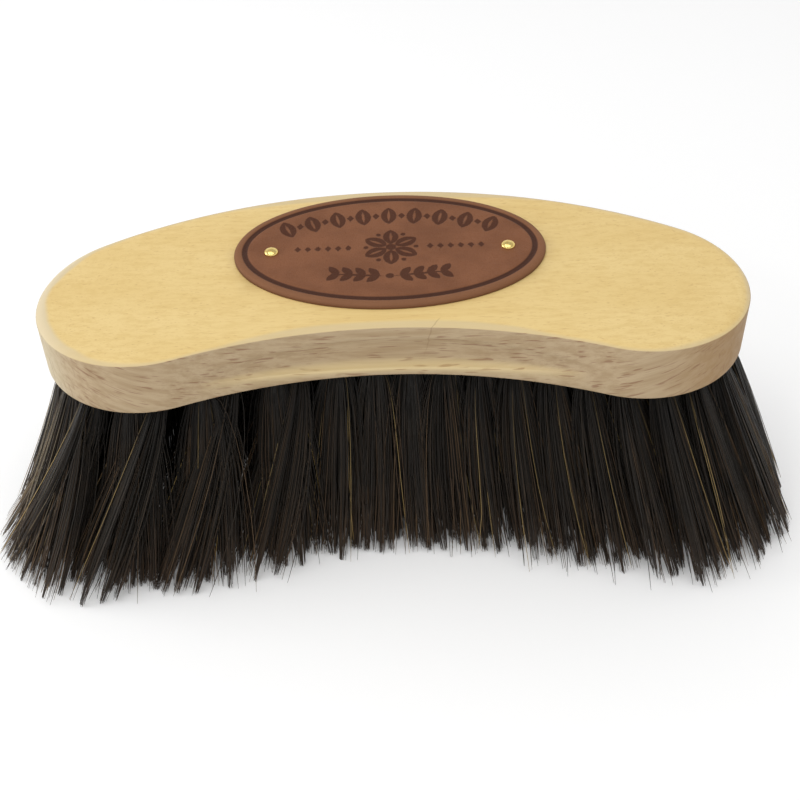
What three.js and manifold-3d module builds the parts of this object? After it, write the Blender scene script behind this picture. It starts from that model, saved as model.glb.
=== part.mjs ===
// A kidney-shaped hand brush: a beech stock, a fan of horsehair tufts, and an oval leather badge
// held by two brass nails. Millimetres, +Z up. The brush stands on its bristle tips at z = 0, its
// length runs along X, and the convex back of the stock faces +Y.
import * as THREE from "three";
import { mergeVertices } from "three/addons/utils/BufferGeometryUtils.js";
import Module from "manifold-3d";

const wasm = await Module();
wasm.setup();

// Stock: an outline of four tangent arcs, drawn about the middle of the line between its end centres.
const END_RADIUS = 32;
const END_CENTRE_X = 73;
const BACK_RADIUS = 172;
const FRONT_RADIUS = 170;
const BACK_CENTRE_Y = -Math.sqrt((BACK_RADIUS - END_RADIUS) ** 2 - END_CENTRE_X ** 2);
const FRONT_CENTRE_Y = -Math.sqrt((FRONT_RADIUS + END_RADIUS) ** 2 - END_CENTRE_X ** 2);
const BACK_Y = BACK_CENTRE_Y + BACK_RADIUS;
const FRONT_Y = FRONT_CENTRE_Y + FRONT_RADIUS;
const ARC_SEGMENTS = 16;
const STOCK_THICKNESS = 18;
const TOP_ROUNDOVER = 3;
const ROUNDOVER_STEPS = 3;

// Finger groove: a cove that is deepest in the middle of each long side and runs out towards the ends.
const COVE_RADIUS = 9;
const COVE_DEPTH = 2.5;
const COVE_HALF_LENGTH = 56;
const COVE_HEIGHT = 8.4;
const COVE_RING_SEGMENTS = 96;
const COVE_SECTION_SEGMENTS = 18;

// Bristles: two rings of tufts that follow the outline, and two short rows between them.
const BRISTLE_LENGTH = 65;
const OUTER_RING = { inset: 6.5, count: 44 };
const MIDDLE_RING = { inset: 17.5, count: 36 };
const INNER_COLUMNS = 14;
const INNER_HALF_LENGTH = 76;
const FAN_X = 0.265;
const FAN_Y = 0.45;
const TUFT_ROOT_RADIUS = 2.2;
const TUFT_SIDES = 8;
const TUFT_GAP = 0.35;
const HOLE_RADIUS = 2.6;
const HOLE_DEPTH = 12;
const WEB_WIDTH = 4;
const WEB_BOTTOM = 2;
const WEB_TOP = 12;

// Badge and nails.
const BADGE_HALF_LENGTH = 47.6;
const BADGE_HALF_WIDTH = 29.2;
const BADGE_Y = 19;
const BADGE_THICKNESS = 1.5;
const BADGE_EDGE = 0.5;
const BADGE_SEGMENTS = 60;
const NAIL_SPACING = 72.2;
const NAIL_OFFSET_Y = -1.2;
const NAIL_HEAD_RADIUS = 2.1;
const NAIL_HEAD_HEIGHT = 1.2;
const NAIL_SHANK_RADIUS = 0.8;
const NAIL_LENGTH = 12;
const NAIL_SEGMENTS = 12;

const GAP = 0.3;
const UNDERSIDE = BRISTLE_LENGTH;
const TOP = UNDERSIDE + STOCK_THICKNESS;
const BADGE_BOTTOM = TOP + GAP;
const BADGE_TOP = BADGE_BOTTOM + BADGE_THICKNESS;

const beech = { color: 0xe4ca85, roughness: 0.5, metalness: 0 };
const leather = { color: 0x87583e, roughness: 0.6, metalness: 0 };
const brass = { color: 0xd9b64a, roughness: 0.25, metalness: 1 };
const horsehair = { color: 0x1b1612, roughness: 0.55, metalness: 0 };

// A closed three.js geometry as a solid that can be joined and cut.
function solid(geometry) {
  geometry.deleteAttribute("normal");
  geometry.deleteAttribute("uv");
  const merged = mergeVertices(geometry, 1e-4);
  const corners = merged.index.array;
  const triangles = [];
  for (let i = 0; i < corners.length; i += 3) {
    const [a, b, c] = corners.slice(i, i + 3);
    if (a !== b && b !== c && c !== a) triangles.push(a, b, c);
  }
  return new wasm.Manifold(new wasm.Mesh({
    numProp: 3,
    vertProperties: new Float32Array(merged.attributes.position.array),
    triVerts: new Uint32Array(triangles),
  }));
}

function namedMesh(name, body, look) {
  const { vertProperties, triVerts } = body.getMesh();
  const geometry = new THREE.BufferGeometry();
  geometry.setAttribute("position", new THREE.BufferAttribute(vertProperties, 3));
  geometry.setIndex(new THREE.BufferAttribute(triVerts, 1));
  geometry.computeVertexNormals();
  const mesh = new THREE.Mesh(geometry, new THREE.MeshStandardMaterial(look));
  mesh.name = name;
  return mesh;
}

// A solid of revolution about Z from [radius, height] pairs that start and end on the axis.
function turned(profile, segments) {
  const points = profile.map(([radius, height]) => new THREE.Vector2(radius, height));
  return new THREE.LatheGeometry(points, segments).rotateX(Math.PI / 2);
}

// The kidney outline, moved inwards by inset. It runs clockwise from the middle of the back: half the
// back arc, the right end, the front arc, the left end and the other half of the back arc.
function kidneyArcs(inset) {
  const backAngle = Math.atan2(-BACK_CENTRE_Y, END_CENTRE_X);
  const frontAngle = Math.atan2(-FRONT_CENTRE_Y, END_CENTRE_X);
  const arc = (x, y, radius, from, to, clockwise) =>
    new THREE.EllipseCurve(x, y, radius, radius, from, to, clockwise);
  const endRadius = END_RADIUS - inset;
  const backRadius = BACK_RADIUS - inset;
  return [
    arc(0, BACK_CENTRE_Y, backRadius, Math.PI / 2, backAngle, true),
    arc(END_CENTRE_X, 0, endRadius, backAngle, frontAngle - Math.PI, true),
    arc(0, FRONT_CENTRE_Y, FRONT_RADIUS + inset, frontAngle, Math.PI - frontAngle, false),
    arc(-END_CENTRE_X, 0, endRadius, -frontAngle, -Math.PI - backAngle, true),
    arc(0, BACK_CENTRE_Y, backRadius, Math.PI - backAngle, Math.PI / 2, true),
  ];
}

// Front and back edge of the inset outline at x, between the two end centres and a little beyond.
function edgesAt(x, inset) {
  const endRadius = END_RADIUS - inset;
  const onFrontArc = Math.abs(x) < END_CENTRE_X * (1 - endRadius / (FRONT_RADIUS + END_RADIUS));
  const front = onFrontArc
    ? FRONT_CENTRE_Y + Math.sqrt((FRONT_RADIUS + inset) ** 2 - x ** 2)
    : -Math.sqrt(endRadius ** 2 - (Math.abs(x) - END_CENTRE_X) ** 2);
  const back = BACK_CENTRE_Y + Math.sqrt((BACK_RADIUS - inset) ** 2 - x ** 2);
  return [front, back];
}

// The line that the bristles fan out from: midway between the front and back of the outline.
function middleY(x) {
  const [front, back] = edgesAt(THREE.MathUtils.clamp(x, -END_CENTRE_X, END_CENTRE_X), 0);
  return (front + back) / 2;
}

// Each tuft has a root on the stock's underside and a tip on the ground, further out.
function tuft(x, y) {
  const root = new THREE.Vector2(x, y);
  const tip = new THREE.Vector2(x * (1 + FAN_X), y + FAN_Y * (y - middleY(x)));
  return { root, tip };
}

// Tufts at even steps round the inset outline, the first and last half a step from its middle.
function ringPairs({ inset, count }) {
  const path = new THREE.CurvePath();
  kidneyArcs(inset).forEach((arc) => path.add(arc));
  const tuftAt = (step) => {
    const { x, y } = path.getPoint((step + 0.5) / count);
    return tuft(x, y);
  };
  const pairs = [];
  for (let i = 0; i < count; i += 2) pairs.push([tuftAt(i), tuftAt(i + 1)]);
  return pairs;
}

// Two rows that split the space inside the middle ring into thirds.
function innerPairs() {
  const rows = [[], []];
  for (let i = 0; i < INNER_COLUMNS; i += 1) {
    const x = INNER_HALF_LENGTH * ((2 * i) / (INNER_COLUMNS - 1) - 1);
    const [front, back] = edgesAt(x, MIDDLE_RING.inset);
    const third = (back - front) / 3;
    rows[0].push(tuft(x, front + third));
    rows[1].push(tuft(x, back - third));
  }
  const pairs = [];
  for (const row of rows) {
    for (let i = 0; i < INNER_COLUMNS; i += 2) pairs.push([row[i], row[i + 1]]);
  }
  return pairs;
}

// A tip is as wide as its nearest neighbour leaves room for.
function setTipRadii(tufts) {
  for (const one of tufts) {
    const others = tufts.filter((other) => other !== one);
    const nearest = Math.min(...others.map((other) => other.tip.distanceTo(one.tip)));
    one.tipRadius = (nearest - TUFT_GAP) / 2;
  }
}

// Moves each level sideways so that the solid leans from the root at the underside to the tip at z = 0.
function leaning(geometry, { root, tip }) {
  const slopeX = (root.x - tip.x) / UNDERSIDE;
  const slopeY = (root.y - tip.y) / UNDERSIDE;
  const shear = new THREE.Matrix4().makeShear(0, 0, 0, 0, slopeX, slopeY);
  return geometry.applyMatrix4(shear).translate(tip.x, tip.y, 0);
}

function tuftSolid(one) {
  const plugTop = UNDERSIDE + HOLE_DEPTH - GAP;
  const profile = [[0, 0], [one.tipRadius, 0], [TUFT_ROOT_RADIUS, UNDERSIDE - GAP],
    [TUFT_ROOT_RADIUS, plugTop], [0, plugTop]];
  return solid(leaning(turned(profile, TUFT_SIDES), one));
}

function tuftHole(one) {
  const profile = [[0, -1], [HOLE_RADIUS, -1], [HOLE_RADIUS, HOLE_DEPTH], [0, HOLE_DEPTH]];
  const raised = profile.map(([radius, height]) => [radius, UNDERSIDE + height]);
  return solid(leaning(turned(raised, TUFT_SIDES), one));
}

// The low bridge where the hair of two neighbouring tufts has run together.
function webSolid([one, other]) {
  const middle = { root: one.root.clone().lerp(other.root, 0.5), tip: one.tip.clone().lerp(other.tip, 0.5) };
  const across = other.tip.clone().sub(one.tip);
  const height = WEB_TOP - WEB_BOTTOM;
  const box = new THREE.BoxGeometry(across.length(), WEB_WIDTH, height).rotateZ(across.angle());
  return solid(leaning(box.translate(0, 0, WEB_BOTTOM + height / 2), middle));
}

function pairSolid(pair) {
  return tuftSolid(pair[0]).add(tuftSolid(pair[1])).add(webSolid(pair));
}

// The blank: rounded all round its top edge, with the same round sawn off flat underneath.
function blankSolid() {
  const shape = new THREE.Shape();
  kidneyArcs(0).forEach((arc) => shape.add(arc));
  const blank = new THREE.ExtrudeGeometry(shape, {
    depth: STOCK_THICKNESS, curveSegments: ARC_SEGMENTS, bevelSegments: ROUNDOVER_STEPS,
    bevelSize: TOP_ROUNDOVER, bevelThickness: TOP_ROUNDOVER, bevelOffset: -TOP_ROUNDOVER,
  });
  blank.translate(0, 0, TOP - TOP_ROUNDOVER - STOCK_THICKNESS);
  const sawn = new THREE.BoxGeometry(300, 200, 20).translate(0, 0, UNDERSIDE - 10);
  return solid(blank).subtract(solid(sawn));
}

// A ring whose nearest point sinks COVE_DEPTH into the middle of a long side, and which leaves the
// side again COVE_HALF_LENGTH to the left and right. Into the concave front it reaches outwards from
// its own middle; into the convex back it reaches inwards.
function coveRing(sideRadius, sideY, into) {
  const sag = sideRadius - Math.sqrt(sideRadius ** 2 - COVE_HALF_LENGTH ** 2);
  const reachSag = sag + into * COVE_DEPTH;
  const reach = (COVE_HALF_LENGTH ** 2 + reachSag ** 2) / (2 * reachSag);
  const ringRadius = reach - into * COVE_RADIUS;
  const section = [];
  for (let i = 0; i <= COVE_SECTION_SEGMENTS; i += 1) {
    const angle = (2 * Math.PI * (i % COVE_SECTION_SEGMENTS)) / COVE_SECTION_SEGMENTS;
    section.push([ringRadius + COVE_RADIUS * Math.cos(angle), COVE_RADIUS * Math.sin(angle)]);
  }
  const ring = turned(section, COVE_RING_SEGMENTS);
  return solid(ring.translate(0, sideY + into * COVE_DEPTH - reach, UNDERSIDE + COVE_HEIGHT));
}

function nailHole(x, y) {
  const profile = [[0, 0], [NAIL_SHANK_RADIUS + GAP, 0],
    [NAIL_SHANK_RADIUS + GAP, NAIL_LENGTH + 5], [0, NAIL_LENGTH + 5]];
  return solid(turned(profile, NAIL_SEGMENTS / 2).translate(x, y, BADGE_TOP - NAIL_LENGTH - GAP));
}

function stockSolid(tufts, nailPlaces) {
  let stock = blankSolid()
    .subtract(coveRing(FRONT_RADIUS, FRONT_Y, 1))
    .subtract(coveRing(BACK_RADIUS, BACK_Y, -1));
  for (const one of tufts) stock = stock.subtract(tuftHole(one));
  for (const [x, y] of nailPlaces) stock = stock.subtract(nailHole(x, y));
  return stock;
}

// An oval with its upper rim eased, and a hole for each nail.
function badgeSolid(nailPlaces) {
  const shape = new THREE.Shape();
  shape.absellipse(0, 0, BADGE_HALF_LENGTH, BADGE_HALF_WIDTH, 0, 2 * Math.PI);
  const oval = new THREE.ExtrudeGeometry(shape, {
    depth: BADGE_THICKNESS, curveSegments: BADGE_SEGMENTS, bevelSegments: 1,
    bevelSize: BADGE_EDGE, bevelThickness: BADGE_EDGE, bevelOffset: -BADGE_EDGE,
  });
  oval.translate(0, BADGE_Y, BADGE_BOTTOM - BADGE_EDGE);
  const below = new THREE.BoxGeometry(150, 100, 4).translate(0, BADGE_Y, BADGE_BOTTOM - 2);
  let badge = solid(oval).subtract(solid(below));
  for (const [x, y] of nailPlaces) badge = badge.subtract(nailHole(x, y));
  return badge;
}

function nailSolid([x, y]) {
  const headBottom = BADGE_TOP + GAP;
  const headTop = headBottom + NAIL_HEAD_HEIGHT;
  const point = headBottom - NAIL_LENGTH;
  const dome = [0, 0.35, 0.65, 0.88, 1].map((reach) =>
    [NAIL_HEAD_RADIUS * reach, headTop - NAIL_HEAD_HEIGHT * 0.8 * (1 - Math.sqrt(1 - reach ** 2))]);
  const profile = [[0, point], [NAIL_SHANK_RADIUS, point + 2], [NAIL_SHANK_RADIUS, headBottom],
    [NAIL_HEAD_RADIUS, headBottom], ...dome.reverse()];
  return solid(turned(profile, NAIL_SEGMENTS).translate(x, y, 0));
}

function brush() {
  const group = new THREE.Group();
  const nailPlaces = [-1, 1].map((side) => [(side * NAIL_SPACING) / 2, BADGE_Y + NAIL_OFFSET_Y]);
  const pairs = { outer: ringPairs(OUTER_RING), middle: ringPairs(MIDDLE_RING), inner: innerPairs() };
  const tufts = Object.values(pairs).flat(2);
  setTipRadii(tufts);
  group.add(namedMesh("stock", stockSolid(tufts, nailPlaces), beech));
  group.add(namedMesh("badge", badgeSolid(nailPlaces), leather));
  group.add(namedMesh("nail_left", nailSolid(nailPlaces[0]), brass));
  group.add(namedMesh("nail_right", nailSolid(nailPlaces[1]), brass));
  for (const [ring, members] of Object.entries(pairs)) {
    members.forEach((pair, i) => {
      const name = `tufts_${ring}_${String(i + 1).padStart(2, "0")}`;
      group.add(namedMesh(name, pairSolid(pair), horsehair));
    });
  }
  // The origin is the middle of the ground that the whole brush covers.
  const middle = new THREE.Box3().setFromObject(group).getCenter(new THREE.Vector3());
  group.position.set(-middle.x, -middle.y, 0);
  return group;
}

export default brush();
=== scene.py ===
"""A kidney-shaped hand brush: a beech stock, a fan of horsehair, and a leather badge held by two brass nails.

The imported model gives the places. Shapes are worked out here in millimetres about the middle of the stock's
outline, with X along the brush, +Y to its convex back and z = 0 at the bristle tips, and are then moved to
the model's frame.
"""

import math

import bpy
import numpy as np
from mathutils import Matrix, Vector
from mathutils.geometry import delaunay_2d_cdt


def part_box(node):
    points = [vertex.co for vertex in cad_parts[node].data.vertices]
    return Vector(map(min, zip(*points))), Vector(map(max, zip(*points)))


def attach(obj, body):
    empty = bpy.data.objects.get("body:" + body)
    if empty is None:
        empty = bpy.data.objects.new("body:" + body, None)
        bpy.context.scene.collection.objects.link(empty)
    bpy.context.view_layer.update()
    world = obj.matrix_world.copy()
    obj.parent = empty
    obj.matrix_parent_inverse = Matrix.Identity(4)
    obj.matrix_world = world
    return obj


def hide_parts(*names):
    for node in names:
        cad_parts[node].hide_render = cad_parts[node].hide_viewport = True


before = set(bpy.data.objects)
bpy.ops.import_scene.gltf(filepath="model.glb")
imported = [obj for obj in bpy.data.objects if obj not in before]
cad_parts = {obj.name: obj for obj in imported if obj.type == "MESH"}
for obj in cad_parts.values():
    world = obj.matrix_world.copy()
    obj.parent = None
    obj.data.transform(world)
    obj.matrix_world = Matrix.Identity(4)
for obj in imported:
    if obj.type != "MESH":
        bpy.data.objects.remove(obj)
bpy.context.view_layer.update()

MM = 0.001
TURN = 2 * math.pi

# Stock: an outline of four tangent arcs, with a finger cove along each long side.
END_RADIUS = 32
END_CENTRE_X = 73
HALF_LENGTH = END_CENTRE_X + END_RADIUS
BACK_RADIUS = 172
FRONT_RADIUS = 170
BACK_CENTRE_Y = -math.sqrt((BACK_RADIUS - END_RADIUS) ** 2 - END_CENTRE_X ** 2)
FRONT_CENTRE_Y = -math.sqrt((FRONT_RADIUS + END_RADIUS) ** 2 - END_CENTRE_X ** 2)
OUTLINE_SPACING = 1.2
LOWER_EDGE = ((0.5, 0), (0.15, 0.14), (0, 0.5))   # inset and rise of the rows round the lower edge
EASED_WIDTH = 3.2
EASED_DROP = (0.4, 1.6)    # how far the eased edge falls, in the middle and at the ends
EASED_ROWS = np.array([0, 0.03, 0.12, 0.28, 0.46, 0.64, 0.82, 1])    # shares of its width
COVE_DEPTH = 2.5
COVE_HALF_LENGTH = 56
COVE_FLOOR = (2.8, 6.4)    # height of its lower lip above the underside, in the middle and at its ends
COVE_CEILING = (14.2, 9.6)
COVE_DEEPEST = 0.3         # share of the way up at which it is deepest
COVE_SCOOP = 2.2           # 1 is a straight slope from the lip to the deepest line, and more is rounder
LIP_ROLL = 0.3             # height over which the lip rolls over into the cove
# Shares of its height. They are close together where the wood turns in above the lip.
COVE_ROWS = (0, 0.006, 0.02, 0.045, 0.08, 0.12, 0.17, 0.23, 0.3, 0.4, 0.5, 0.6, 0.7, 0.8, 0.9, 1)
TOP_RINGS = (EASED_WIDTH, 4.2, 6, 9, 14, 21)    # insets of the rings of points in the flat top
BOTTOM_RINGS = (LOWER_EDGE[0][0], 3)
WELL_INSIDE = 20.0         # the inset given to points far from the outline
HOLE_RADIUS = 2.6
HOLE_DEPTH = 12
HOLE_SIDES = 16
NAIL_HOLE_GAP = 0.1

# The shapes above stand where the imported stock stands.
stock_low, stock_high = (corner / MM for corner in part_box("stock"))
UNDERSIDE = stock_low.z
TOP = stock_high.z
OUTLINE_Y = stock_low.y + END_RADIUS

# A hairline check crosses the front edge. It leans, and CHECK_X is about its x where y and z are 0.
CHECK_X = 2.0
CHECK_LEAN_Y = 0.55
CHECK_LEAN_Z = 0.3
CHECK_WANDER = 2
CHECK_WIDTH = (0.06, 0.3)  # of its dark line, and of its fade
GRAIN_SWEEP = -2.6         # how fast the grain lines turn off level towards the ends

# Badge and nails.
badge_low, badge_high = (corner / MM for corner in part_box("badge"))
BADGE_HALF_LENGTH = (badge_high.x - badge_low.x) / 2
BADGE_HALF_WIDTH = (badge_high.y - badge_low.y) / 2
BADGE_Y = (badge_high.y + badge_low.y) / 2 - OUTLINE_Y
BADGE_SIDES = 480
BADGE_SEAT_GAP = 0.02
BADGE_EDGE_RINGS = (0, 0.1, 0.25, 0.45, 0.7, 1.0, 1.4, 1.9, 2.3, 2.55, 2.8, 3.05, 3.3, 3.55, 3.8, 4.05, 4.3,
                    4.7, 5.2)
BADGE_INNER_RINGS = 73
BADGE_INNERMOST = 0.012    # size of the innermost ring against the first inner one
BADGE_INSIDE = 9.0         # the inset given to points inside the edge rings
BADGE_LINE_INSET = 3.3
BADGE_LINE_WIDTH = 1.8
GARLAND_RADIUS = 84
GARLAND_Y = -67.5
GARLAND_STEP = 2.75        # degrees from a leaf to the next diamond
GARLAND_COUNT = 17
GARLAND_LEAF = (9.0, 4.8)  # length and width, and so for the others below
GARLAND_SLIT = (6.2, 0.9)
GARLAND_DIAMOND = (2.2, 3.4)
ROSETTE_MIDDLE = (0.5, -0.5)
ROSETTE_PETALS = 6
PETAL = (7.4, 4.7)
PETAL_SLIT = (4.6, 0.9)
PETAL_REACH = 5.3          # from the rosette's middle to a petal's
DOT_REACH = 7.6
ROW_COUNT = 6
ROW_START = 12.5
ROW_STEP = 3.1
ROW_DIAMOND = (2.0, 3.0)
BRANCH_Y = -15.2
BRANCH_RISE = math.radians(6)
BRANCH_STEM = (16, 0.9)
BRANCH_LEAF = (5.2, 2.5)
BRANCH_PAIRS = 4
BRANCH_OPENING = math.radians(50)
NAILS = ("nail_left", "nail_right")
NAIL_SHANK_RADIUS = 0.8
NAIL_HEAD_RADIUS = 2.2
NAIL_HEAD_HEIGHT = 1.35
NAIL_BEDDING = 0.3         # how deep the head sits in the leather
NAIL_LENGTH = 11
NAIL_SIDES = 40

# Hair.
SEED = 20
HAIR_RADIUS = 0.15
HAIR_SIDES = 3
# Shares of the way down from the stock's underside. The first is in the hole.
HAIR_ROWS = np.array([-0.13, 0.0, 0.035, 0.09, 0.2, 0.37, 0.56, 0.75, 0.9, 1.0])
HAIR_TAPER = np.array([1, 1, 1, 1, 1, 1, 1, 1, 0.92, 0.4])
BUNCH_RADIUS = 2.15        # of a tuft where it leaves its hole
CLUMPS = 19                # in a tuft
GOLDEN_ANGLE = 2.4         # radians from one clump to the next, which spreads them evenly
CLUMP_JITTER = 0.14        # how unevenly the clumps lie, as a share of the tuft's reach
CLUMP_REACH = 1.3          # how far out they lie at the tips, in halves of the gap to the next tuft
CLUMP_WIDEN = 1.2          # how much further they spread along the rows of tufts than across them
CLUMP_BOW = 0.9            # how far a clump bows out of line
CLUMP_BELLY = 0.8          # how wide a clump is halfway down
CLUMP_POINT = 0.38         # and at its tip
HAIR_BOW = 0.55            # how far one hair bows out of its clump
TIP_SHIFT = 1.3            # how far a whole tuft strays towards its neighbour
TIP_SCATTER = 0.6
RAGGED = (1.0, 0.28)       # how uneven the lengths of the clumps are, and of the hairs in a clump
SHORTFALL = (0.15, 9)      # least and most that a hair ends above the ground
SPREAD_EARLY = 0.38        # 1 spreads a tuft evenly down its length, and less spreads it near its root
COMBED = 0.8               # share by which a hair outside the fan is brought back in
HAIRS = {"outer": 420, "middle": 280, "inner": 190}
LOOSE_SHARE = {"outer": 0.18, "middle": 0.4, "inner": 0.35}
LOOSE_REACH = 6.5          # how far a loose hair strays towards the next tuft
SAME_LEVEL = 0.05          # corners of a packed tuft this close in height are in one layer
FLARE = 0.42               # how late the hair at the left end flares; 0 is straight
FLARE_FROM = 76
ANCHOR_RADIUS = 0.25
ANCHOR_HALF_WIDTH = 1.9
ANCHOR_ROWS = 9
ANCHOR_BEND = 0.75         # share of the half width at which its legs turn down
ANCHOR_LEG = 3
ODD_HAIR_THINNER = 0.85
ODD_HAIR_OUTWARD = 0.8     # how far out of its tuft an odd hair lies
# Odd hairs among the black ones: dark, light and tip shade, how many there are in a tuft, how far they stray,
# and the x that their tufts are left of.
ODD_HAIRS = {
    "brown": ((72, 56, 40), (104, 82, 57), (114, 88, 58), 14, 2.2, HALF_LENGTH),
    "blond": ((130, 110, 70), (172, 146, 94), (168, 138, 84), 3, 4.0, HALF_LENGTH),
    # The grey hairs at the left end are grey hair and also painted glints of the lamp on the left.
    "grey": ((120, 108, 88), (164, 148, 120), (150, 126, 92), 16, 1.2, -88),
}
# Where use has pushed the hair: root x and y, how far round it, and the push on the tips in x and y.
PUSHES = ((-98, 6, 14, 12, 0), (-97, -11, 7, -9, -3), (-86, -19, 7, -4, -1), (-50, -22, 10, 0, -5),
          (-34, -14, 7, 0, -2), (0, -12, 12, 0, 1), (27, -14, 7, 0, 3.5), (46, -20, 6, 0, -2),
          (68, -22, 9, 0, 3.5), (97, -10, 7, 1, -2), (98, 4, 12, -6.5, 0))


# ---------------------------------------------------------------- meshes

def new_piece(name, points, faces, material, fields=None, replaces=()):
    """A smooth mesh from points in millimetres and arrays of three- or four-cornered faces."""
    corners = np.concatenate([np.asarray(group).ravel() for group in faces])
    sizes = np.concatenate([np.full(len(group), np.shape(group)[1]) for group in faces])
    mesh = bpy.data.meshes.new(name)
    mesh.vertices.add(len(points))
    mesh.vertices.foreach_set("co", ((points + (0, OUTLINE_Y, 0)) * MM).ravel())
    mesh.loops.add(len(corners))
    mesh.loops.foreach_set("vertex_index", corners)
    mesh.polygons.add(len(sizes))
    mesh.polygons.foreach_set("loop_start", np.cumsum(sizes) - sizes)
    mesh.polygons.foreach_set("use_smooth", np.ones(len(sizes), bool))
    for field, values in (fields or {}).items():
        mesh.attributes.new(field, "FLOAT", "POINT").data.foreach_set("value", np.float32(values))
    mesh.update(calc_edges=True)
    mesh.validate()
    mesh.materials.append(material)
    piece = bpy.data.objects.new(name, mesh)
    bpy.context.scene.collection.objects.link(piece)
    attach(piece, "root")
    if replaces:
        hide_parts(*replaces)
    return piece


def grid_faces(index, closed):
    """Quads of a grid of vertex numbers, row by row; closed joins each row's end to its start."""
    turned = np.roll(index, -1, axis=1) if closed else index[:, 1:]
    index = index if closed else index[:, :-1]
    return np.stack([index[:-1], turned[:-1], turned[1:], index[1:]], axis=-1).reshape(-1, 4)


def circle(x, y, radius, sides):
    angle = TURN * np.arange(sides) / sides
    return np.stack([x + radius * np.cos(angle), y + radius * np.sin(angle)], axis=1)


def inside(points, loop):
    """Whether each point lies inside the closed loop."""
    a, b = loop, np.roll(loop, -1, axis=0)
    x, y = points[:, :1], points[:, 1:]
    spans = (a[:, 1] > y) != (b[:, 1] > y)
    with np.errstate(divide="ignore", invalid="ignore"):
        crossing = a[:, 0] + (y - a[:, 1]) * (b[:, 0] - a[:, 0]) / (b[:, 1] - a[:, 1])
    return (spans & (x < crossing)).sum(axis=1) % 2 == 1


def flat_fill(loops, holes):
    """Triangles, facing up, that fill the first loop, leave the holes open, and follow every other loop."""
    every = loops + holes
    points = np.concatenate(every)
    starts = np.cumsum([0] + [len(loop) for loop in every])
    edges = [(start + i, start + (i + 1) % len(loop)) for start, loop in zip(starts, every)
             for i in range(len(loop))]
    found = delaunay_2d_cdt([Vector(p) for p in points], edges, [], 0, 1e-6)
    number = np.array([originals[0] for originals in found[3]])
    triangles = number[np.array(found[2])]
    middles = points[triangles].mean(axis=1)
    kept = inside(middles, loops[0])
    for hole in holes:
        kept &= ~inside(middles, hole)
    return triangles[kept]


# ---------------------------------------------------------------- stock

def kidney(inset):
    """Points and outward directions, anticlockwise, of the outline moved inwards; every inset has as many."""
    back = math.atan2(-BACK_CENTRE_Y, END_CENTRE_X)
    front = math.atan2(-FRONT_CENTRE_Y, END_CENTRE_X)
    arcs = [(END_CENTRE_X, 0, END_RADIUS, front - math.pi, back, 1),
            (0, BACK_CENTRE_Y, BACK_RADIUS, back, math.pi - back, 1),
            (-END_CENTRE_X, 0, END_RADIUS, math.pi - back, TURN - front, 1),
            (0, FRONT_CENTRE_Y, FRONT_RADIUS, math.pi - front, front, -1)]
    points, outward = [], []
    for x, y, radius, start, end, side in arcs:
        steps = round(radius * abs(end - start) / OUTLINE_SPACING)
        angle = start + (end - start) * np.arange(steps) / steps
        direction = np.stack([np.cos(angle), np.sin(angle)], axis=1)
        points.append((x, y) + (radius - side * inset) * direction)
        outward.append(side * direction)
    return np.concatenate(points), np.concatenate(outward)


def wall_rows(x, along_side):
    """Inset, height and share of painted highlight on the cove's ledge for each row up the stock's wall."""
    out = np.where(along_side, np.clip(np.abs(x) / COVE_HALF_LENGTH, 0, 1), 1) ** 2
    low, high = (UNDERSIDE + middle + (end - middle) * out
                 for middle, end in (COVE_FLOOR, COVE_CEILING))
    drop = EASED_DROP[0] + (EASED_DROP[1] - EASED_DROP[0]) * (x / HALF_LENGTH) ** 6
    # The painted highlight along the cove's ledge is strongest in the middle and fades out towards the cove's
    # ends.
    none, lip_highlight = 0 * x, 1 - out ** 2
    rows = [(none + inset, none + UNDERSIDE + rise, none) for inset, rise in LOWER_EDGE]
    foot = UNDERSIDE + LOWER_EDGE[-1][1]
    # Below the ledge the painted highlight fades towards the underside.
    rows += [(none, foot + (low - LIP_ROLL - foot) * share, lip_highlight * share ** 2) for share in (0.6, 1)]
    # A scoop with a nearly level floor and a long slope above it. The painted highlight fades out over its
    # lowest fifth.
    for share in COVE_ROWS:
        if share < COVE_DEEPEST:
            sunk = (1 - (1 - share / COVE_DEEPEST) ** COVE_SCOOP) ** (1 / COVE_SCOOP)
        else:
            sunk = 1 - ((share - COVE_DEEPEST) / (1 - COVE_DEEPEST)) ** 2
        inset = COVE_DEPTH * (1 - out) * sunk
        rows.append((inset, low + (high - low) * share, lip_highlight * max(0, 1 - share / 0.2)))
    arris = TOP - drop
    rows += [(none, high + (arris - high) * share, none) for share in (0.2, 0.6, 0.97)]
    for inset in EASED_WIDTH * EASED_ROWS:
        rows.append((none + inset, TOP - drop * (1 - inset / EASED_WIDTH) ** 2, none))
    return rows


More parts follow.
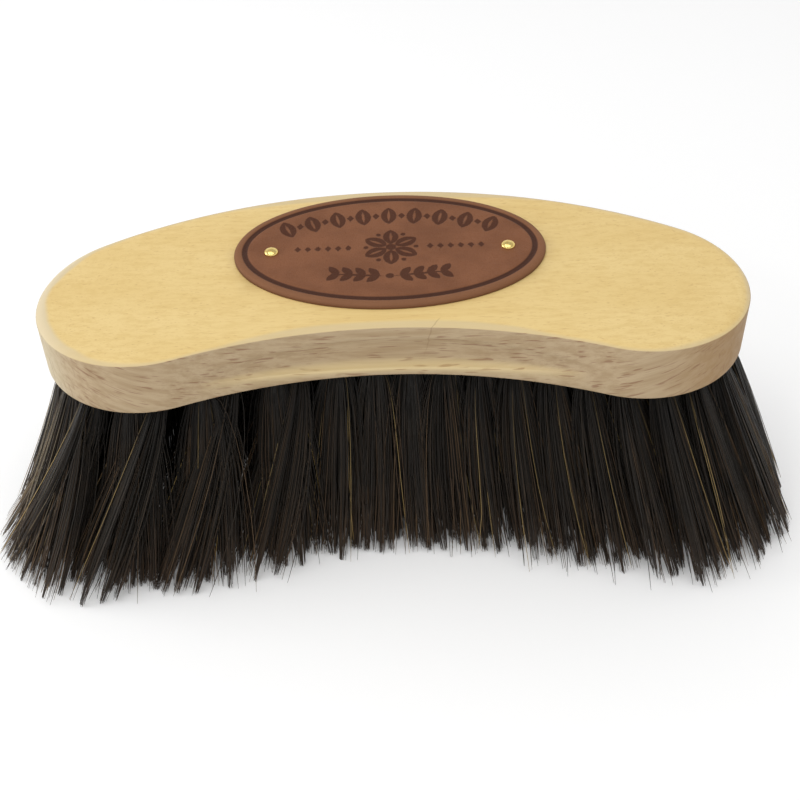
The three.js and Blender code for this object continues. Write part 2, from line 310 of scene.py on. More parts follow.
def make_stock(tufts, nail_places, material):
    """The stock in one mesh: its wall, its two flat sides, and the blind bores that go in from them."""
    outline, outward = kidney(0)
    x = outline[:, 0]
    along_side = np.abs(x) < COVE_HALF_LENGTH
    rows = wall_rows(x, along_side)
    count = len(outline)
    points = [np.column_stack([outline - outward * inset[:, None], height]) for inset, height, lip_highlight in rows]
    index = np.arange(len(rows) * count).reshape(len(rows), count)
    faces = [grid_faces(index, closed=True)]
    eased = len(EASED_ROWS)
    inset = [np.zeros(count)] * (len(rows) - eased) + [row[0] for row in rows[-eased:]]
    lip_highlight = np.concatenate([row[2] for row in rows])

    def add_flat(level, insets, holes, facing_up, first_row):
        """Fills one flat side, sharing the wall's row, and returns where its holes' points start."""
        start = sum(len(part) for part in points)
        loops = [kidney(d)[0] for d in insets]
        rings = np.concatenate(loops[1:] + holes)
        triangles = flat_fill(loops, holes)
        own = np.concatenate([first_row, start + np.arange(len(rings))])
        triangles = own[triangles]
        faces.append(triangles if facing_up else triangles[:, ::-1])
        points.append(np.column_stack([rings, np.full(len(rings), level)]))
        inset.extend([np.full(count, d) for d in insets[1:]])
        inset.extend([np.full(len(hole), WELL_INSIDE) for hole in holes])
        return start + count * (len(insets) - 1)

    def add_bores(first, holes, level, depth, drift):
        """Blind bores going in from a flat side's holes; drift is how far each has leaned at its end."""
        for number, (hole, shift) in enumerate(zip(holes, drift)):
            start = sum(len(part) for part in points)
            end = np.vstack([hole + shift, hole.mean(axis=0) + shift])
            points.append(np.column_stack([end, np.full(HOLE_SIDES + 1, level + depth)]))
            mouth = first + HOLE_SIDES * number + np.arange(HOLE_SIDES)
            bottom = start + np.arange(HOLE_SIDES)
            walls = grid_faces(np.stack([mouth, bottom]), closed=True)
            fan = np.column_stack([bottom, np.roll(bottom, -1), np.full(HOLE_SIDES, start + HOLE_SIDES)])
            faces.extend([walls[:, ::-1], fan[:, ::-1]] if depth > 0 else [walls, fan])
            inset.append(np.full(HOLE_SIDES + 1, WELL_INSIDE))

    nail_holes = [circle(*place, NAIL_SHANK_RADIUS + NAIL_HOLE_GAP, HOLE_SIDES) for place in nail_places]
    first = add_flat(TOP, TOP_RINGS, nail_holes, True, index[-1])
    add_bores(first, nail_holes, TOP, -NAIL_LENGTH, np.zeros((len(nail_holes), 2)))
    tuft_holes = [circle(*root, HOLE_RADIUS, HOLE_SIDES) for root, tip in tufts]
    first = add_flat(UNDERSIDE, BOTTOM_RINGS, tuft_holes, False, index[0])
    lean = [(root - tip) * HOLE_DEPTH / UNDERSIDE for root, tip in tufts]
    add_bores(first, tuft_holes, UNDERSIDE, HOLE_DEPTH, lean)
    points = np.concatenate(points)
    # Besides its inset, each point carries its share of the painted highlight on the cove's ledge.
    fields = {"inset": np.concatenate(inset), "lip_highlight": np.pad(lip_highlight, (0, len(points) - len(lip_highlight)))}
    return new_piece("stock_beech", points, faces, material, fields, ["stock"])


# ---------------------------------------------------------------- badge

def leaf(x, y, at, angle, length, width):
    """Distance outside a pointed leaf; negative inside it."""
    u = (x - at[0]) * math.cos(angle) + (y - at[1]) * math.sin(angle)
    v = (y - at[1]) * math.cos(angle) - (x - at[0]) * math.sin(angle)
    radius = (length ** 2 + width ** 2) / (4 * width)
    return np.hypot(u, np.abs(v) + radius - width / 2) - radius


def slit_leaf(x, y, at, angle, size, slit):
    """A leaf with a narrow leaf left out along its middle."""
    return np.maximum(leaf(x, y, at, angle, *size), -leaf(x, y, at, angle, *slit))


def disc(x, y, at, radius):
    """Distance outside a round dot; negative inside it."""
    return np.hypot(x - at[0], y - at[1]) - radius


def diamond(x, y, at, width, height):
    """Roughly the distance outside a diamond; negative inside it."""
    return (np.abs(x - at[0]) / width + np.abs(y - at[1]) / height - 0.5) * min(width, height) * 0.8


def garland(x, y):
    """Upright leaves on an arc over the middle, with a small diamond between each two."""
    shapes = []
    for i in range(GARLAND_COUNT):
        turn = math.radians(GARLAND_STEP * (i - GARLAND_COUNT // 2))
        at = (GARLAND_RADIUS * math.sin(turn), GARLAND_Y + GARLAND_RADIUS * math.cos(turn))
        if i % 2:
            shapes.append(diamond(x, y, at, *GARLAND_DIAMOND))
        else:
            shapes.append(slit_leaf(x, y, at, TURN / 4 - turn, GARLAND_LEAF, GARLAND_SLIT))
    return shapes


def rosette(x, y):
    """A six-petalled flower in the middle, with a dot between each two petals."""
    def out(angle, reach):
        return ROSETTE_MIDDLE[0] + reach * math.cos(angle), ROSETTE_MIDDLE[1] + reach * math.sin(angle)

    shapes = [disc(x, y, ROSETTE_MIDDLE, 1.5)]
    half_step = TURN / ROSETTE_PETALS / 2
    for i in range(ROSETTE_PETALS):
        angle = TURN * i / ROSETTE_PETALS + half_step
        shapes.append(slit_leaf(x, y, out(angle, PETAL_REACH), angle, PETAL, PETAL_SLIT))
        shapes.append(disc(x, y, out(angle + half_step, DOT_REACH), 0.75))
    return shapes


def beaded_lines(x, y):
    """A row of small diamonds on each side of the rosette."""
    return [diamond(x, y, (side * (ROW_START + ROW_STEP * i), ROSETTE_MIDDLE[1]), *ROW_DIAMOND)
            for side in (-1, 1) for i in range(ROW_COUNT)]


def branches(x, y):
    """Two leafy branches, which rise a little from a berry under the rosette."""
    shapes = [disc(x, y, (0, BRANCH_Y), 1.2)]
    for side in (-1, 1):
        # The left branch is the right one with x turned round.
        mirrored = side * x
        shapes.append(leaf(mirrored, y, (9.5, -14.4), BRANCH_RISE, *BRANCH_STEM))
        for i in range(BRANCH_PAIRS):
            along = 3.6 + 4.0 * i
            for slant in (BRANCH_RISE - BRANCH_OPENING, BRANCH_RISE + BRANCH_OPENING):
                at = (along + 1.9 * math.cos(slant),
                      BRANCH_Y + along * math.tan(BRANCH_RISE) + 1.9 * math.sin(slant))
                shapes.append(leaf(mirrored, y, at, slant, *BRANCH_LEAF))
    return shapes


def badge_drop(inset, x, y, nails):
    """How far the leather lies below its highest level: at its rim, its pressed line and its nails."""
    rim = 0.9 * np.clip(1 - inset / 1.1, 0, 1) ** 2.2 + 0.12 * np.clip(1 - inset / 2.2, 0, 1)
    line = 0.42 * np.exp(-((inset - BADGE_LINE_INSET) / (BADGE_LINE_WIDTH * 0.52)) ** 4)
    # Each nail's head has pressed the leather down round it.
    pressed = sum(0.35 * np.exp(-((x - px) ** 2 + (y - py) ** 2) / 3.2 ** 2) for px, py in nails)
    return rim + line + pressed


def make_badge(nail_places, material):
    """Leather cut to an oval: rings that follow its edge, then rings that shrink to its middle."""
    angle = TURN * np.arange(BADGE_SIDES) / BADGE_SIDES
    edge = np.stack([BADGE_HALF_LENGTH * np.cos(angle), BADGE_HALF_WIDTH * np.sin(angle)], axis=1)
    outward = np.stack([np.cos(angle) / BADGE_HALF_LENGTH, np.sin(angle) / BADGE_HALF_WIDTH], axis=1)
    outward /= np.linalg.norm(outward, axis=1, keepdims=True)
    seat, surface = TOP + BADGE_SEAT_GAP, badge_high.z
    nails = [(px, py - BADGE_Y) for px, py in nail_places]
    rings = [edge - outward * inset for inset in BADGE_EDGE_RINGS]
    rings += [rings[-1] * share for share in np.linspace(1, BADGE_INNERMOST, BADGE_INNER_RINGS + 1)[1:]]
    depth = [np.full(BADGE_SIDES, inset) for inset in BADGE_EDGE_RINGS]
    depth += [np.full(BADGE_SIDES, BADGE_INSIDE)] * BADGE_INNER_RINGS
    flat = np.concatenate(rings)
    height = surface - badge_drop(np.concatenate(depth), flat[:, 0], flat[:, 1], nails)
    below = np.column_stack([np.concatenate([edge * 0.99, edge]),
                             np.repeat([seat, seat + 0.12], BADGE_SIDES)])
    points = np.vstack([below, np.column_stack([flat, height])])
    index = np.arange(len(points)).reshape(-1, BADGE_SIDES)
    middle = len(points)
    points = np.vstack([points, [[0, 0, height[-1]]]])
    faces = grid_faces(index, closed=True)
    for px, py in nails:
        centres = points[faces].mean(axis=1)
        faces = faces[np.hypot(centres[:, 0] - px, centres[:, 1] - py) > NAIL_SHANK_RADIUS + 0.45]
    fan = np.column_stack([index[-1], np.roll(index[-1], -1), np.full(BADGE_SIDES, middle)])
    x, y = points[:, 0], points[:, 1]
    marks = np.minimum.reduce(garland(x, y) + rosette(x, y) + beaded_lines(x, y) + branches(x, y))
    inset = np.concatenate([np.zeros(2 * BADGE_SIDES), *depth, [BADGE_INSIDE]])
    points[:, 1] += BADGE_Y
    return new_piece("badge_leather", points, [faces, fan], material,
                     {"mark": marks, "inset": inset}, ["badge"])


def make_nail(node, place, material):
    """A round-head nail turned about its axis, its head bedded in the leather."""
    seat = badge_high.z - NAIL_BEDDING
    profile = [(0.02, seat - NAIL_LENGTH), (NAIL_SHANK_RADIUS * 0.55, seat - NAIL_LENGTH + 1),
               (NAIL_SHANK_RADIUS, seat - NAIL_LENGTH + 2.2), (NAIL_SHANK_RADIUS, seat - 0.05),
               (NAIL_SHANK_RADIUS + 0.1, seat), (NAIL_HEAD_RADIUS - 0.12, seat),
               (NAIL_HEAD_RADIUS, seat + 0.1)]
    profile += [(NAIL_HEAD_RADIUS * math.cos(a), seat + 0.16 + (NAIL_HEAD_HEIGHT - 0.16) * math.sin(a))
                for a in np.linspace(0.04, TURN / 4 - 0.01, 12)]
    rings = [np.column_stack([circle(*place, radius, NAIL_SIDES), np.full(NAIL_SIDES, z)])
             for radius, z in profile]
    index = np.arange(len(rings) * NAIL_SIDES).reshape(-1, NAIL_SIDES)
    return new_piece(node + "_brass", np.concatenate(rings), [grid_faces(index, closed=True)], material,
                     replaces=[node])


# ---------------------------------------------------------------- hair

def tuft_lines(node):
    """Root on the stock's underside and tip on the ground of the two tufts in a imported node."""
    corners = np.array([v.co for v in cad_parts[node].data.vertices]) / MM - (0, OUTLINE_Y, 0)
    corners = np.unique(corners.round(3), axis=0)

    def two_middles(level):
        """The middles of the two tufts' corners in one layer, told apart along its longest direction."""
        level = level[:, :2]
        spread = level - level.mean(axis=0)
        axis = np.linalg.svd(spread, full_matrices=False)[2][0]
        axis *= np.sign(axis[np.argmax(np.abs(axis))])
        ahead = spread @ axis > 0
        return np.array([level[~ahead].mean(axis=0), level[ahead].mean(axis=0)])

    plug_top = corners[:, 2].max()
    tops = two_middles(corners[corners[:, 2] > plug_top - SAME_LEVEL])
    tips = two_middles(corners[corners[:, 2] < SAME_LEVEL])
    if np.linalg.norm(tops[0] - tips[0]) > np.linalg.norm(tops[0] - tips[1]):
        tips = tips[::-1]
    return [(tip + (top - tip) * UNDERSIDE / plug_top, tip) for top, tip in zip(tops, tips)]


def tubes(lines, radii):
    """Points and faces of thin tubes round centrelines given as hair, row, xyz."""
    hairs, rows, _ = lines.shape
    along = np.gradient(lines, axis=1)
    across = np.cross(along, (1.0, 0.2, 0.0))
    across /= np.linalg.norm(across, axis=2, keepdims=True)
    other = np.cross(along, across)
    other /= np.linalg.norm(other, axis=2, keepdims=True)
    angle = TURN * np.arange(HAIR_SIDES) / HAIR_SIDES
    ring = across[:, :, None] * np.cos(angle)[:, None] + other[:, :, None] * np.sin(angle)[:, None]
    points = lines[:, :, None] + ring * radii[None, :, None, None]
    index = np.arange(hairs * rows * HAIR_SIDES).reshape(hairs, rows, HAIR_SIDES)
    a, b = index[:, :-1], index[:, 1:]
    faces = np.stack([a, np.roll(a, -1, axis=2), np.roll(b, -1, axis=2), b], axis=-1)
    return points.reshape(-1, 3), faces.reshape(-1, 4)


def hair_lines(rng, tuft, reach, count, loose_share, wild=0.0, outward=0.0):
    """Centrelines of some of a tuft's hairs, which leave the hole together and end in pointed clumps."""
    root, tip = tuft
    clump = rng.integers(CLUMPS, size=count)
    turn = GOLDEN_ANGLE * np.arange(CLUMPS) + rng.uniform(0, TURN)
    place = np.sqrt((np.arange(CLUMPS) + 0.5) / CLUMPS)[:, None]
    place = place * np.stack([np.cos(turn), np.sin(turn)], axis=1)
    place += rng.normal(0, CLUMP_JITTER, place.shape)
    away = (tip - root) / max(np.linalg.norm(tip - root), 1)
    beside = np.array([-away[1], away[0]])
    tip = tip + beside * rng.uniform(-TIP_SHIFT, TIP_SHIFT)
    ragged = np.abs(rng.normal(0, RAGGED[0], CLUMPS))
    bow = rng.normal(0, CLUMP_BOW, place.shape)
    stray = rng.normal(0, 1, (count, 2))
    # Some hairs have left their clump and lie between this tuft and the next.
    loose = LOOSE_REACH * (rng.uniform(0, 1, (count, 1)) < loose_share)
    start = place[clump] * 0.72 + stray * 0.22
    start *= BUNCH_RADIUS / np.maximum(np.linalg.norm(start, axis=1, keepdims=True), 1)
    spread = place[clump] + (place[clump] @ beside)[:, None] * beside * (CLUMP_WIDEN - 1)
    end = (spread * CLUMP_REACH * reach + stray * CLUMP_POINT + away * outward * reach
           + rng.uniform(-1, 1, (count, 2)) * (wild + TIP_SCATTER)
           + beside * rng.uniform(-1, 1, (count, 1)) * loose)
    short = ragged[clump] + RAGGED[1] * (stray ** 2).sum(axis=1)
    last = 1 - np.clip(short, *SHORTFALL) / UNDERSIDE
    along = np.where(HAIR_ROWS > 0, HAIR_ROWS * last[:, None], HAIR_ROWS)[..., None]
    share = np.clip(along, 0, 1) ** SPREAD_EARLY
    swell = np.sin(np.clip(along, 0, 1) * math.pi)
    curve = stray[:, None] * CLUMP_BELLY + bow[clump][:, None] + rng.normal(0, HAIR_BOW, (count, 1, 2))
    offset = start[:, None] * (1 - share) + end[:, None] * share + swell * curve
    # The outside of the fan is combed flat: a hair strays only a little beyond its tuft.
    beyond = offset @ away - (BUNCH_RADIUS * (1 - along) + reach * along)[..., 0]
    offset -= np.clip(beyond, 0, None)[..., None] * COMBED * away
    # At the left end the hair hangs straighter at first, and flares later.
    late = 1 + FLARE * np.clip((-root[0] - FLARE_FROM) / (HALF_LENGTH - FLARE_FROM), 0, 1)
    lean = np.where(along > 0, np.abs(along) ** late, along)
    return np.dstack([root + (tip - root) * lean + offset, UNDERSIDE * (1 - along)])


def pushed(root, tip):
    """A tuft with its tip moved as use has moved it."""
    for x, y, width, push_x, push_y in PUSHES:
        nearness = math.exp(-((root[0] - x) ** 2 + (root[1] - y) ** 2) / width ** 2)
        tip = tip + nearness * np.array([push_x, push_y])
    return root, tip


def make_hair(name, groups, material, radius, replaces=()):
    """One piece from several groups of centrelines, each hair with its own shade."""
    lines = np.concatenate(groups)
    points, faces = tubes(lines, HAIR_TAPER * radius)
    rng = np.random.default_rng(len(lines) + len(name))
    shade = np.repeat(rng.uniform(0, 1, len(lines)), len(HAIR_ROWS) * HAIR_SIDES)
    along = np.tile(np.repeat(np.clip(HAIR_ROWS, 0, 1), HAIR_SIDES), len(lines))
    return new_piece(name, points, [faces], material, {"shade": shade, "along": along}, replaces)


def tip_reach(tufts):
    """Half the mean distance from each tuft's tip to its two nearest neighbours'."""
    tips = np.array([tip for root, tip in tufts])
    gaps = np.linalg.norm(tips[:, None] - tips[None], axis=2)
    return np.sort(gaps, axis=1)[:, 1:3].mean(axis=1) / 2


def make_anchors(name, tufts, material):
    """The wire staple that holds each tuft's fold at the top of its hole."""
    across = np.linspace(-1, 1, ANCHOR_ROWS)
    rise = -ANCHOR_LEG * np.clip((np.abs(across) - ANCHOR_BEND) / (1 - ANCHOR_BEND), 0, 1)
    rng = np.random.default_rng(SEED)
    lines = []
    for root, tip in tufts:
        top = root + (root - tip) * (HOLE_DEPTH - 1.2) / UNDERSIDE
        turn = rng.uniform(0, math.pi)
        level = top + across[:, None] * ANCHOR_HALF_WIDTH * np.array([math.cos(turn), math.sin(turn)])
        lines.append(np.column_stack([level, UNDERSIDE + HOLE_DEPTH - 1.0 + rise]))
    points, faces = tubes(np.array(lines), np.full(ANCHOR_ROWS, ANCHOR_RADIUS))
    return new_piece(name, points, [faces], material)


# ---------------------------------------------------------------- materials

def rgb(red, green, blue):
    """A screen colour, 0 to 255, as the linear colour that the shaders use."""
    def linear(value):
        value /= 255
        return value / 12.92 if value <= 0.04045 else ((value + 0.055) / 1.055) ** 2.4
    return (linear(red), linear(green), linear(blue), 1)


class Shading:
    """A Principled material, with short names for the nodes that feed it."""

    def __init__(self, name, **settings):
        self.material = bpy.data.materials.new(name)
        self.material.use_nodes = True
        self.tree = self.material.node_tree
        self.shader = self.tree.nodes["Principled BSDF"]
        for key, value in settings.items():
            self.shader.inputs[key.replace("_", " ")].default_value = value

    def node(self, kind, inputs, output=0, **settings):
        made = self.tree.nodes.new("ShaderNode" + kind)
        for key, value in settings.items():
            setattr(made, key, value)
        for key, value in inputs.items():
            if isinstance(value, bpy.types.NodeSocket):
                self.tree.links.new(value, made.inputs[key])
            else:
                made.inputs[key].default_value = value
        return made.outputs[output]

    def feed(self, key, socket):
        self.tree.links.new(socket, self.shader.inputs[key])

    def field(self, name):
        return self.node("Attribute", {}, "Fac", attribute_name=name)

    def sum(self, a, b):
        return self.node("Math", {0: a, 1: b}, operation="ADD")

    def less(self, a, b):
        return self.node("Math", {0: a, 1: b}, operation="SUBTRACT")

    def times(self, a, b):
        return self.node("Math", {0: a, 1: b}, operation="MULTIPLY")

    def size(self, a):
        """The value without its sign."""
        return self.node("Math", {0: a}, operation="ABSOLUTE")

    def stretched(self, *size, turn=(0, 0, 0), source=None):
        """The place on the object, in units of a grain of this size in millimetres."""
        place = source or self.node("TexCoord", {}, "Object")
        scale = [1 / (s * MM) for s in size]
        return self.node("Mapping", {"Vector": place, "Rotation": turn, "Scale": scale})

    def noise(self, place, detail, roughness=0.5, distortion=0.0):
        return self.node("TexNoise", {"Vector": place, "Scale": 1.0, "Detail": detail,
                                      "Roughness": roughness, "Distortion": distortion}, "Fac")

    def between(self, value, low, high, start=0.0, end=1.0):
        """The value carried from low..high to start..end, without running past either."""
        return self.node("MapRange", {"Value": value, "From Min": low, "From Max": high,
                                      "To Min": start, "To Max": end}, interpolation_type="SMOOTHSTEP")

    def mix(self, factor, a, b):
        made = self.tree.nodes.new("ShaderNodeMix")
        made.data_type = "RGBA"
        for key, value in ((0, factor), (6, a), (7, b)):
            if isinstance(value, bpy.types.NodeSocket):
                self.tree.links.new(value, made.inputs[key])
            else:
                made.inputs[key].default_value = value
        return made.outputs[2]

    def bump(self, height, distance, strength, normal=None):
        """The surface's direction once a relief this many millimetres high is laid on it."""
        inputs = {"Height": height, "Distance": distance * MM, "Strength": strength}
        if normal is not None:
            inputs["Normal"] = normal
        return self.node("Bump", inputs)


def beech():
    """Planed beech: oiled yellow on top, paler round its edge, and greyer with dark flecks on its sides."""
    s = Shading("beech", Specular_IOR_Level=0.25)
    place = s.node("TexCoord", {}, "Object")
    x, y, z = (s.node("SeparateXYZ", {"Vector": place}, axis) for axis in "XYZ")
    # The grain rises towards each end, as it does in a board sawn from near the bark.
    swept = s.sum(z, s.times(s.times(x, x), GRAIN_SWEEP))
    grain = s.node("CombineXYZ", {"X": x, "Y": y, "Z": swept})
    tone = s.noise(s.stretched(90, 16, 20, source=grain), 2)
    streaks = s.noise(s.stretched(55, 1.7, 2.0, source=grain), 4, 0.62)
    fine = s.noise(s.stretched(14, 0.38, 0.5, source=grain), 3, 0.6)
    flecks = s.noise(s.stretched(8, 2.4, 0.8, source=grain), 1, 0.5, 0.3)
    specks = s.noise(s.stretched(5, 0.55, 0.55, source=grain), 1)
    rays = s.noise(s.stretched(0.9, 0.8, 5.5, source=grain), 1.5, 0.5, 0.5)
    inset = s.field("inset")
    rounded = s.between(inset, 0.02, 0.3)
    out = s.size(x)
    at_end = s.between(out, 0.082, 0.1)
    # Less oil has reached the edge at the left end, and before the badge.
    bare = s.sum(s.between(x, -0.1, -0.075, 2.6, 0), s.between(out, 0.02, 0.055, 2.2, 0))
    oiled = s.between(s.sum(s.less(inset, bare), s.times(tone, 3.0)), 1.5, 3.2)

    top = s.mix(s.between(tone, 0.3, 0.7), rgb(227, 200, 138), rgb(222, 193, 129))
    top = s.mix(s.between(streaks, 0.42, 0.66, 0, 0.4), top, rgb(210, 177, 112))
    top = s.mix(s.between(fine, 0.5, 0.72, 0, 0.3), top, rgb(203, 164, 100))
    top = s.mix(s.between(specks, 0.64, 0.74, 0, 0.4), top, rgb(190, 150, 94))
    rim = s.mix(s.between(streaks, 0.4, 0.65, 0, 0.3), rgb(211, 189, 143), rgb(203, 179, 132))
    # Painted light: the eased edge at the left end, which faces the lamp on the left, is painted paler.
    rim = s.mix(s.between(x, -0.103, -0.085, 1, 0), rim, rgb(212, 195, 160))
    # The wall's colours are greyer than the top's, as bare wood is, and also darker, which is painted shade.
    side = s.mix(s.between(streaks, 0.38, 0.65, 0, 0.8), rgb(181, 159, 127), rgb(164, 140, 107))
    side = s.mix(s.between(fine, 0.5, 0.75, 0, 0.35), side, rgb(148, 120, 90))
    # Painted shade: the right end of the wall, away from the lamp on the left, is painted darker and warmer.
    side = s.mix(s.between(x, 0.07, 0.098, 0, 0.75), side, rgb(150, 116, 72))
    # Painted light: the left end of the wall, which faces the lamp on the left, is painted lighter and
    # greyer.
    side = s.mix(s.between(x, -0.104, -0.088, 0.85, 0), side, rgb(200, 187, 156))
    dashes = s.times(s.between(flecks, 0.6, 0.7, 0, 0.58), s.between(at_end, 0, 1, 1, 0.3))
    strokes = s.times(s.between(rays, 0.58, 0.7, 0, 0.5), at_end)
    side = s.mix(dashes, side, rgb(126, 86, 62))
    side = s.mix(strokes, side, rgb(128, 94, 66))
    # Painted highlight: the cove's ledge, which faces up, is painted as a paler copy of the wall, with the
    # same dashes.
    lip_highlight = s.mix(dashes, rgb(222, 200, 150), rgb(176, 138, 94))
    side = s.mix(s.times(s.field("lip_highlight"), 0.85), side, lip_highlight)
    # A hairline check wanders up the front wall and over its edge, just right of the middle.
    wander = s.noise(s.stretched(4, 4, 4), 2)
    slant = s.sum(s.times(z, CHECK_LEAN_Z), s.times(y, CHECK_LEAN_Y))
    slant = s.sum(slant, s.times(wander, CHECK_WANDER * MM))
    off = s.size(s.less(s.less(x, slant), CHECK_X * MM))
    dark, faded = (width * MM for width in CHECK_WIDTH)
    check = s.times(s.between(off, dark, faded, 0.3, 0), s.between(inset, 3, 5, 1, 0))
    check = s.times(check, s.between(y, -0.02, -0.01, 1, 0))
    check = s.times(check, s.between(z, (TOP - 15) * MM, (TOP - 5) * MM))
    wood = s.mix(rounded, side, s.mix(oiled, rim, top))
    s.feed("Base Color", s.mix(check, wood, rgb(120, 84, 52)))
    # The oiled top is smoother than the wall.
    s.feed("Roughness", s.between(s.less(streaks, s.times(rounded, 0.3)), 0, 0.8, 0.42, 0.66))
    relief = s.sum(s.times(fine, 0.6), s.times(flecks, 0.5))
    s.feed("Normal", s.bump(relief, 0.16, 0.35))
    return s.material


def tanned_leather():
    """Brown leather with fine pores, a dark pressed line and dark burned marks."""
    s = Shading("tanned_leather", Specular_IOR_Level=0.22)
    cloud = s.noise(s.stretched(14, 11, 11), 3, 0.55)
    pores = s.noise(s.stretched(0.55, 0.45, 0.45), 3, 0.65)
    creases = s.node("TexVoronoi", {"Vector": s.stretched(0.9, 0.75, 0.75), "Scale": 1.0}, "Distance",
                     feature="DISTANCE_TO_EDGE")
    inset, mark = s.field("inset"), s.field("mark")
    ragged = s.sum(mark, s.between(pores, 0.3, 0.7, -0.12, 0.12))
    burned = s.between(ragged, -0.14, 0.16, 1, 0)
    lined = s.between(s.size(s.less(inset, BADGE_LINE_INSET)), 0.65, 1.05, 1, 0)
    rim = s.between(inset, 1.8, 2.8, 1, 0)
    skin = s.mix(s.between(cloud, 0.32, 0.68), rgb(127, 81, 53), rgb(114, 71, 45))
    skin = s.mix(s.between(pores, 0.55, 0.75, 0, 0.45), skin, rgb(98, 60, 39))
    skin = s.mix(s.times(rim, 0.6), skin, rgb(129, 89, 60))
    skin = s.mix(s.between(inset, 0, 0.4, 0.5, 0), skin, rgb(104, 70, 50))
    skin = s.mix(s.times(lined, 0.9), skin, rgb(58, 29, 17))
    s.feed("Base Color", s.mix(s.times(burned, 0.86), skin, rgb(66, 33, 18)))
    s.feed("Roughness", s.between(s.sum(pores, s.times(burned, 0.25)), 0.3, 1.0, 0.55, 0.85))
    hide = s.bump(s.between(creases, 0, 0.18), 0.05, 0.5)
    grainy = s.bump(pores, 0.08, 0.5, hide)
    s.feed("Normal", s.bump(burned, -0.16, 0.8, grainy))
    return s.material


def polished_brass():
    """Bright brass with fine scratches and a few duller spots."""
    s = Shading("polished_brass", Metallic=1.0)
    spots = s.noise(s.stretched(0.5, 0.5, 0.5), 3, 0.6)
    scratches = s.noise(s.stretched(1.6, 0.08, 0.2, turn=(0, 0, 0.6)), 2)
    colour = s.mix(s.between(spots, 0.35, 0.7), rgb(250, 228, 150), rgb(226, 186, 98))
    s.feed("Base Color", s.mix(s.between(scratches, 0.6, 0.75, 0, 0.3), colour, rgb(255, 236, 160)))
    s.feed("Roughness", s.between(spots, 0.3, 0.75, 0.16, 0.34))
    s.feed("Normal", s.bump(scratches, 0.02, 0.3))
    return s.material


def horsehair(name, dark, light, tip):
    """Hair that changes from one shade to another hair by hair, and towards its tip."""
    s = Shading(name, Specular_IOR_Level=0.3)
    shade, along = s.field("shade"), s.field("along")
    blotches = s.noise(s.stretched(5, 5, 16), 2, 0.6)
    hair = s.mix(s.between(shade, 0.55, 1), rgb(*dark), rgb(*light))
    hair = s.mix(s.between(blotches, 0.5, 0.75, 0, 0.5), hair, rgb(*light))
    worn = s.times(s.between(along, 0.5, 1, 0, 0.8), s.between(shade, 0.2, 1, 0.2, 1))
    hair = s.mix(worn, hair, rgb(*tip))
    # Painted shade: each hair is painted darker near the stock, in the shadow under the wood.
    s.feed("Base Color", s.mix(s.between(along, 0.02, 0.4, 0.75, 0), hair, rgb(12, 10, 8)))
    s.feed("Roughness", s.between(shade, 0, 1, 0.42, 0.6))
    return s.material


def studio_floor():
    """White board that glows a little, so that the shadow round the hair stays faint."""
    s = Shading("studio_floor", Roughness=0.9, Specular_IOR_Level=0.1, Emission_Color=(1, 1, 1, 1),
                Emission_Strength=0.13)
    cloud = s.noise(s.stretched(400, 400, 400), 2)
    s.feed("Base Color", s.mix(cloud, rgb(244, 244, 244), rgb(242, 242, 242)))
    return s.material


# ---------------------------------------------------------------- stage

FLOOR_SIZE = 60.0          # metres
CAMERA_TARGET = (-6.96, 0, 40.9)
CAMERA_DISTANCE = 392.5
CAMERA_YAW = 1.84          # degrees, as are the next two
CAMERA_ELEVATION = 41.82
CAMERA_ROLL = -2.86
CAMERA_LENS = 55.6
CAMERA_SHIFT = (0.035, -0.006)
HORIZON = 0.93             # brightness of the room round the horizon
ZENITH = 0.5               # and overhead


def add_camera():
    """The camera, which looks down on the front of the brush, and is turned and rolled a little."""
    yaw, rise, roll = (math.radians(a) for a in (CAMERA_YAW, CAMERA_ELEVATION, CAMERA_ROLL))
    back = Vector((math.sin(yaw) * math.cos(rise), -math.cos(yaw) * math.cos(rise), math.sin(rise)))
    right = Vector((math.cos(yaw), math.sin(yaw), 0))
    up = back.cross(right)
    right, up = (right * math.cos(roll) + up * math.sin(roll), up * math.cos(roll) - right * math.sin(roll))
    target = (Vector(CAMERA_TARGET) + Vector((0, OUTLINE_Y, 0))) * MM
    data = bpy.data.cameras.new("camera")
    data.lens = CAMERA_LENS
    data.sensor_width = 36
    data.shift_x, data.shift_y = CAMERA_SHIFT
    data.clip_start = 0.01
    camera = bpy.data.objects.new("camera", data)
    turned = Matrix((right, up, back)).transposed().to_4x4()
    camera.matrix_world = Matrix.Translation(target + back * CAMERA_DISTANCE * MM) @ turned
    bpy.context.scene.collection.objects.link(camera)
    bpy.context.scene.camera = camera


def add_softbox(name, place, size, power):
    """A rectangular lamp, in metres and watts, that faces the brush."""
    data = bpy.data.lights.new(name, "AREA")
    data.shape = "RECTANGLE"
    data.size, data.size_y = size
    data.energy = power
    lamp = bpy.data.objects.new(name, data)
    lamp.location = place
    lamp.rotation_euler = (-Vector(place)).to_track_quat("-Z", "Y").to_euler()
    bpy.context.scene.collection.objects.link(lamp)


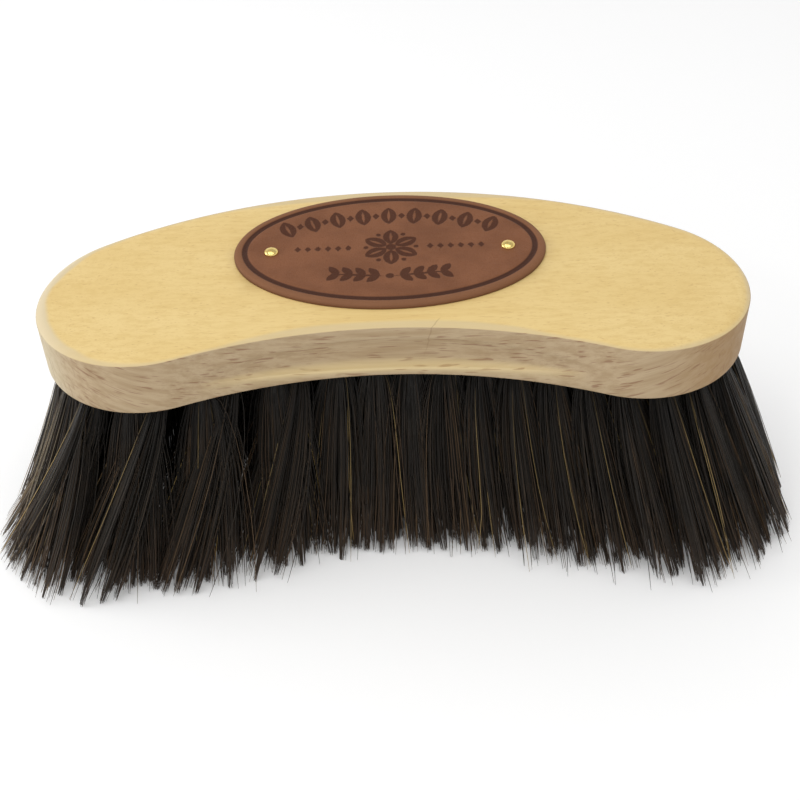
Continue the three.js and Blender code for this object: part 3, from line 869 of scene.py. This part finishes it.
def add_stage():
    """A white floor, a white room, and three soft lamps."""
    mesh = bpy.data.meshes.new("studio_floor")
    half = FLOOR_SIZE / 2
    corners = [(-half, -half, 0), (half, -half, 0), (half, half, 0), (-half, half, 0)]
    mesh.from_pydata(corners, [], [(0, 1, 2, 3)])
    mesh.materials.append(studio_floor())
    floor = bpy.data.objects.new("studio_floor", mesh)
    bpy.context.scene.collection.objects.link(floor)
    world = bpy.data.worlds.new("studio")
    world.use_nodes = True
    # The room is white round the horizon, as the floor is, and dimmer overhead.
    nodes, links = world.node_tree.nodes, world.node_tree.links
    height = nodes.new("ShaderNodeSeparateXYZ")
    glow = nodes.new("ShaderNodeMapRange")
    glow.interpolation_type = "SMOOTHSTEP"
    for limit, value in (("From Min", 0.3), ("From Max", 0.7), ("To Min", HORIZON), ("To Max", ZENITH)):
        glow.inputs[limit].default_value = value
    links.new(nodes.new("ShaderNodeTexCoord").outputs["Generated"], height.inputs["Vector"])
    links.new(height.outputs["Z"], glow.inputs["Value"])
    links.new(glow.outputs["Result"], nodes["Background"].inputs["Strength"])
    nodes["Background"].inputs["Color"].default_value = (1, 1, 1, 1)
    bpy.context.scene.world = world
    bpy.context.scene.view_settings.view_transform = "Standard"
    add_softbox("overhead", (-0.1, -0.2, 1.1), (1.3, 0.9), 5.8)
    add_softbox("left", (-0.9, 0.05, 0.35), (0.5, 0.5), 2.2)
    add_softbox("sparkle", (-0.3, -0.55, 0.6), (0.07, 0.07), 0.35)


# ---------------------------------------------------------------- the brush

def make_brush():
    """Every piece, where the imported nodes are."""
    straight = {node: tuft_lines(node) for node in sorted(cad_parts) if node.startswith("tufts_")}
    lines = {node: [pushed(*tuft) for tuft in pair] for node, pair in straight.items()}
    tufts = [tuft for pair in lines.values() for tuft in pair]
    reach = dict(zip([tuple(tip) for root, tip in tufts], tip_reach(tufts)))
    nail_places = []
    for node in NAILS:
        low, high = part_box(node)
        nail_places.append(((low.x + high.x) / 2 / MM, (low.y + high.y) / 2 / MM - OUTLINE_Y))

    make_stock([tuft for pair in straight.values() for tuft in pair], nail_places, beech())
    make_badge(nail_places, tanned_leather())
    brass = polished_brass()
    for node, place in zip(NAILS, nail_places):
        make_nail(node, place, brass)

    black = horsehair("horsehair_black", (32, 27, 21), (57, 45, 32), (74, 55, 37))
    for number, (node, pair) in enumerate(lines.items()):
        ring = node.split("_")[1]
        rng = np.random.default_rng(SEED + number)
        groups = [hair_lines(rng, tuft, reach[tuple(tuft[1])], HAIRS[ring], LOOSE_SHARE[ring])
                  for tuft in pair]
        make_hair(node.replace("tufts", "hair"), groups, black, HAIR_RADIUS, [node])
    for ring in HAIRS:
        members = [tuft for node, pair in straight.items() if ring in node for tuft in pair]
        make_anchors("anchors_" + ring, members, brass)

    outer = [tuft for node, pair in lines.items() if "outer" in node for tuft in pair]
    rng = np.random.default_rng(SEED)
    for coat, (dark, light, tip, count, wild, left_of) in ODD_HAIRS.items():
        material = horsehair("horsehair_" + coat, dark, light, tip)
        groups = [hair_lines(rng, tuft, reach[tuple(tuft[1])], count, LOOSE_SHARE["outer"], wild,
                             ODD_HAIR_OUTWARD)
                  for tuft in outer if tuft[0][0] < left_of]
        make_hair("hair_" + coat, groups, material, HAIR_RADIUS * ODD_HAIR_THINNER)


add_camera()
add_stage()
make_brush()
